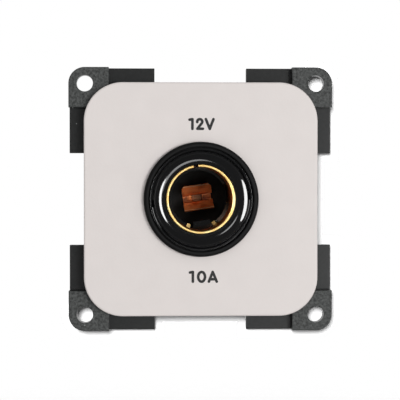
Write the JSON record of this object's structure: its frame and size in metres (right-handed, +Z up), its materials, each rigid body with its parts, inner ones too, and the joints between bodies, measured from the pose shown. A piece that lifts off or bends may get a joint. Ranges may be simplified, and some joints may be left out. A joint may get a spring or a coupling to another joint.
{
  "type": "panel power socket",
  "caption": "Square modular face plate on an eared frame, with a round low-voltage socket: split brass sleeve, sprung centre clip and blade terminals behind.",
  "frame": {"origin": "centre of the screw-hole pattern, on the plane where the frame's ears lie on the panel", "axes": "-Y out of the panel, toward the plug and the viewer; +Z up; +X to the viewer's right"},
  "size_m": [0.0514, 0.0379, 0.0514],
  "materials": {
    "frame_plastic": "fine moulded grain",
    "plate_plastic": "satin",
    "gloss_black": "gloss",
    "nut_plastic": "satin",
    "base_plastic": "matt",
    "sleeve_brass": "polished",
    "clip_copper": "rolled strip",
    "rivet_brass": "satin",
    "terminal_brass": "satin",
    "washer_steel": "zinc plated"
  },
  "bodies": {
    "root": {"support_frame": "frame_plastic", "face_plate": "plate_plastic", "trim_ring": "gloss_black", "socket_body": "gloss_black", "ring_nut": "nut_plastic", "clamp_washer": "washer_steel", "contact_sleeve": "sleeve_brass", "contact_base": "base_plastic", "centre_clip": "clip_copper", "centre_rivet": "rivet_brass", "centre_terminal": "terminal_brass", "earth_terminal": "terminal_brass", "earth_rivet": "rivet_brass"}
  },
  "joints": []
}
